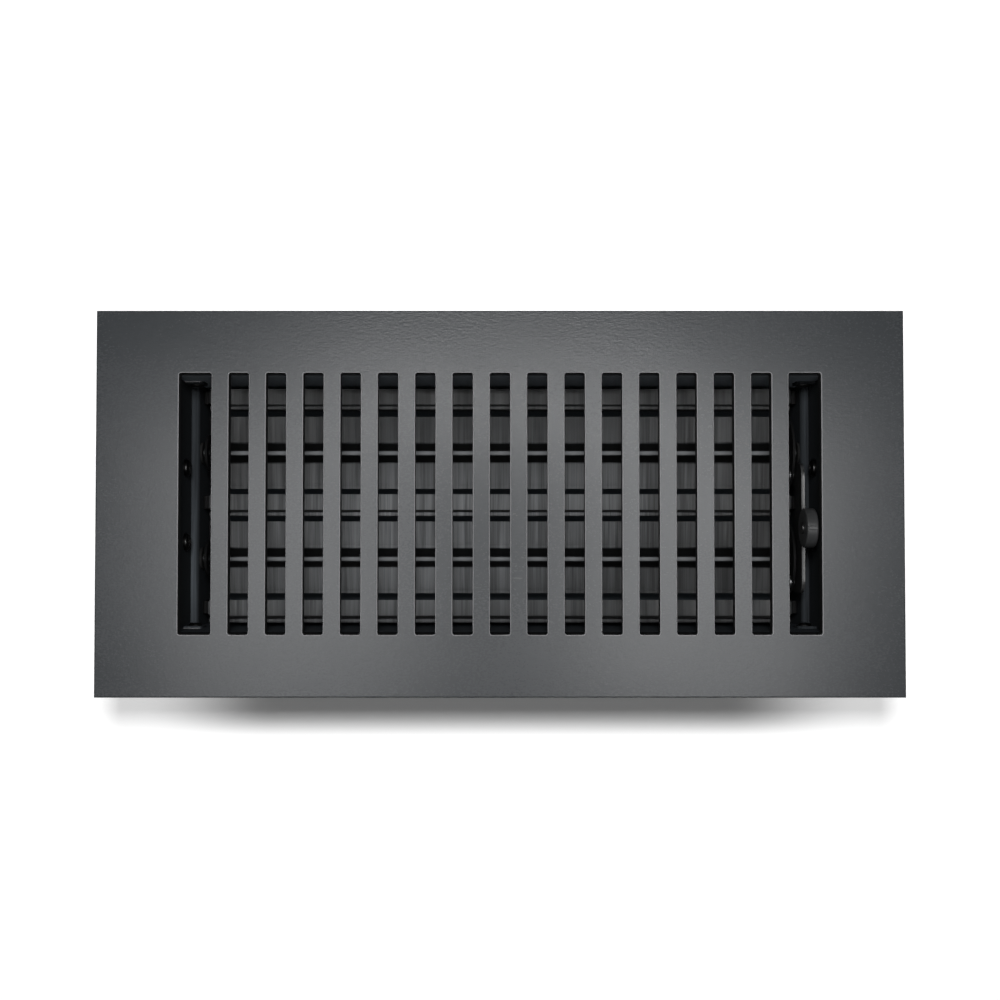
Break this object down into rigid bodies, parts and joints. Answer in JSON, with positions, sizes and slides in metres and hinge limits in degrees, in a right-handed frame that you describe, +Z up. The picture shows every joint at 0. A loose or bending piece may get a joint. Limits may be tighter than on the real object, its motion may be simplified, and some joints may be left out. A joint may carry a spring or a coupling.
{
  "type": "floor register",
  "caption": "Rectangular floor vent register: slotted cast faceplate over a folded steel damper box with two linked tilting blades set by a thumb knob.",
  "frame": {"origin": "middle of the damper box, in the plane of its bottom flanges", "axes": "+X along the register to the knob end, +Y across it to the rear, +Z up through the faceplate"},
  "size_m": [0.2922, 0.1396, 0.0528],
  "materials": {
    "faceplate_paint": "satin charcoal paint over a fine cast grain",
    "damper_steel": "black paint on rolled sheet",
    "bare_steel": "plain zinc steel",
    "bush_nylon": "moulded",
    "knob_plastic": "moulded, fine matt"
  },
  "bodies": {
    "frame": {"faceplate": "faceplate_paint", "rear_wall": "damper_steel", "front_wall": "damper_steel", "left_end_wall": "damper_steel", "right_end_wall": "damper_steel", "rear_rail": "damper_steel", "centre_rail": "damper_steel", "front_rail": "damper_steel", "left_bushes": "bush_nylon", "right_bushes": "bush_nylon", "lug_screws": "bare_steel", "corner_rivets": "bare_steel", "rail_rivets": "bare_steel"},
    "rear_damper": {"rear_blade": "damper_steel", "rear_pivot_rod": "bare_steel", "rear_rod_clips": "bare_steel", "rear_crank_pin": "bare_steel"},
    "front_damper": {"front_blade": "damper_steel", "front_pivot_rod": "bare_steel", "front_rod_clips": "bare_steel", "front_crank_pin": "bare_steel"},
    "link": {"link_plate": "damper_steel", "knob": "knob_plastic", "knob_rivet": "bare_steel"}
  },
  "joints": [
    {"name": "rear_blade_tilt", "type": "hinge", "parent": "frame", "child": "rear_damper", "pos_m": [0, 0.02045, 0.01605], "axis": [1, 0, 0], "range_deg": [-90, 0]},
    {"name": "front_blade_tilt", "type": "hinge", "parent": "frame", "child": "front_damper", "pos_m": [0, -0.02045, 0.01605], "axis": [1, 0, 0], "range_deg": [-90, 0]},
    {"name": "link_swing", "type": "hinge", "parent": "rear_damper", "child": "link", "pos_m": [0.1129, 0.01168, 0.02424], "axis": [1, 0, 0], "range_deg": [0, 90]}
  ],
  "couplings": [
    {"joint": "front_blade_tilt", "follows": "rear_blade_tilt", "ratio": 1},
    {"joint": "link_swing", "follows": "rear_blade_tilt", "ratio": -1}
  ]
}
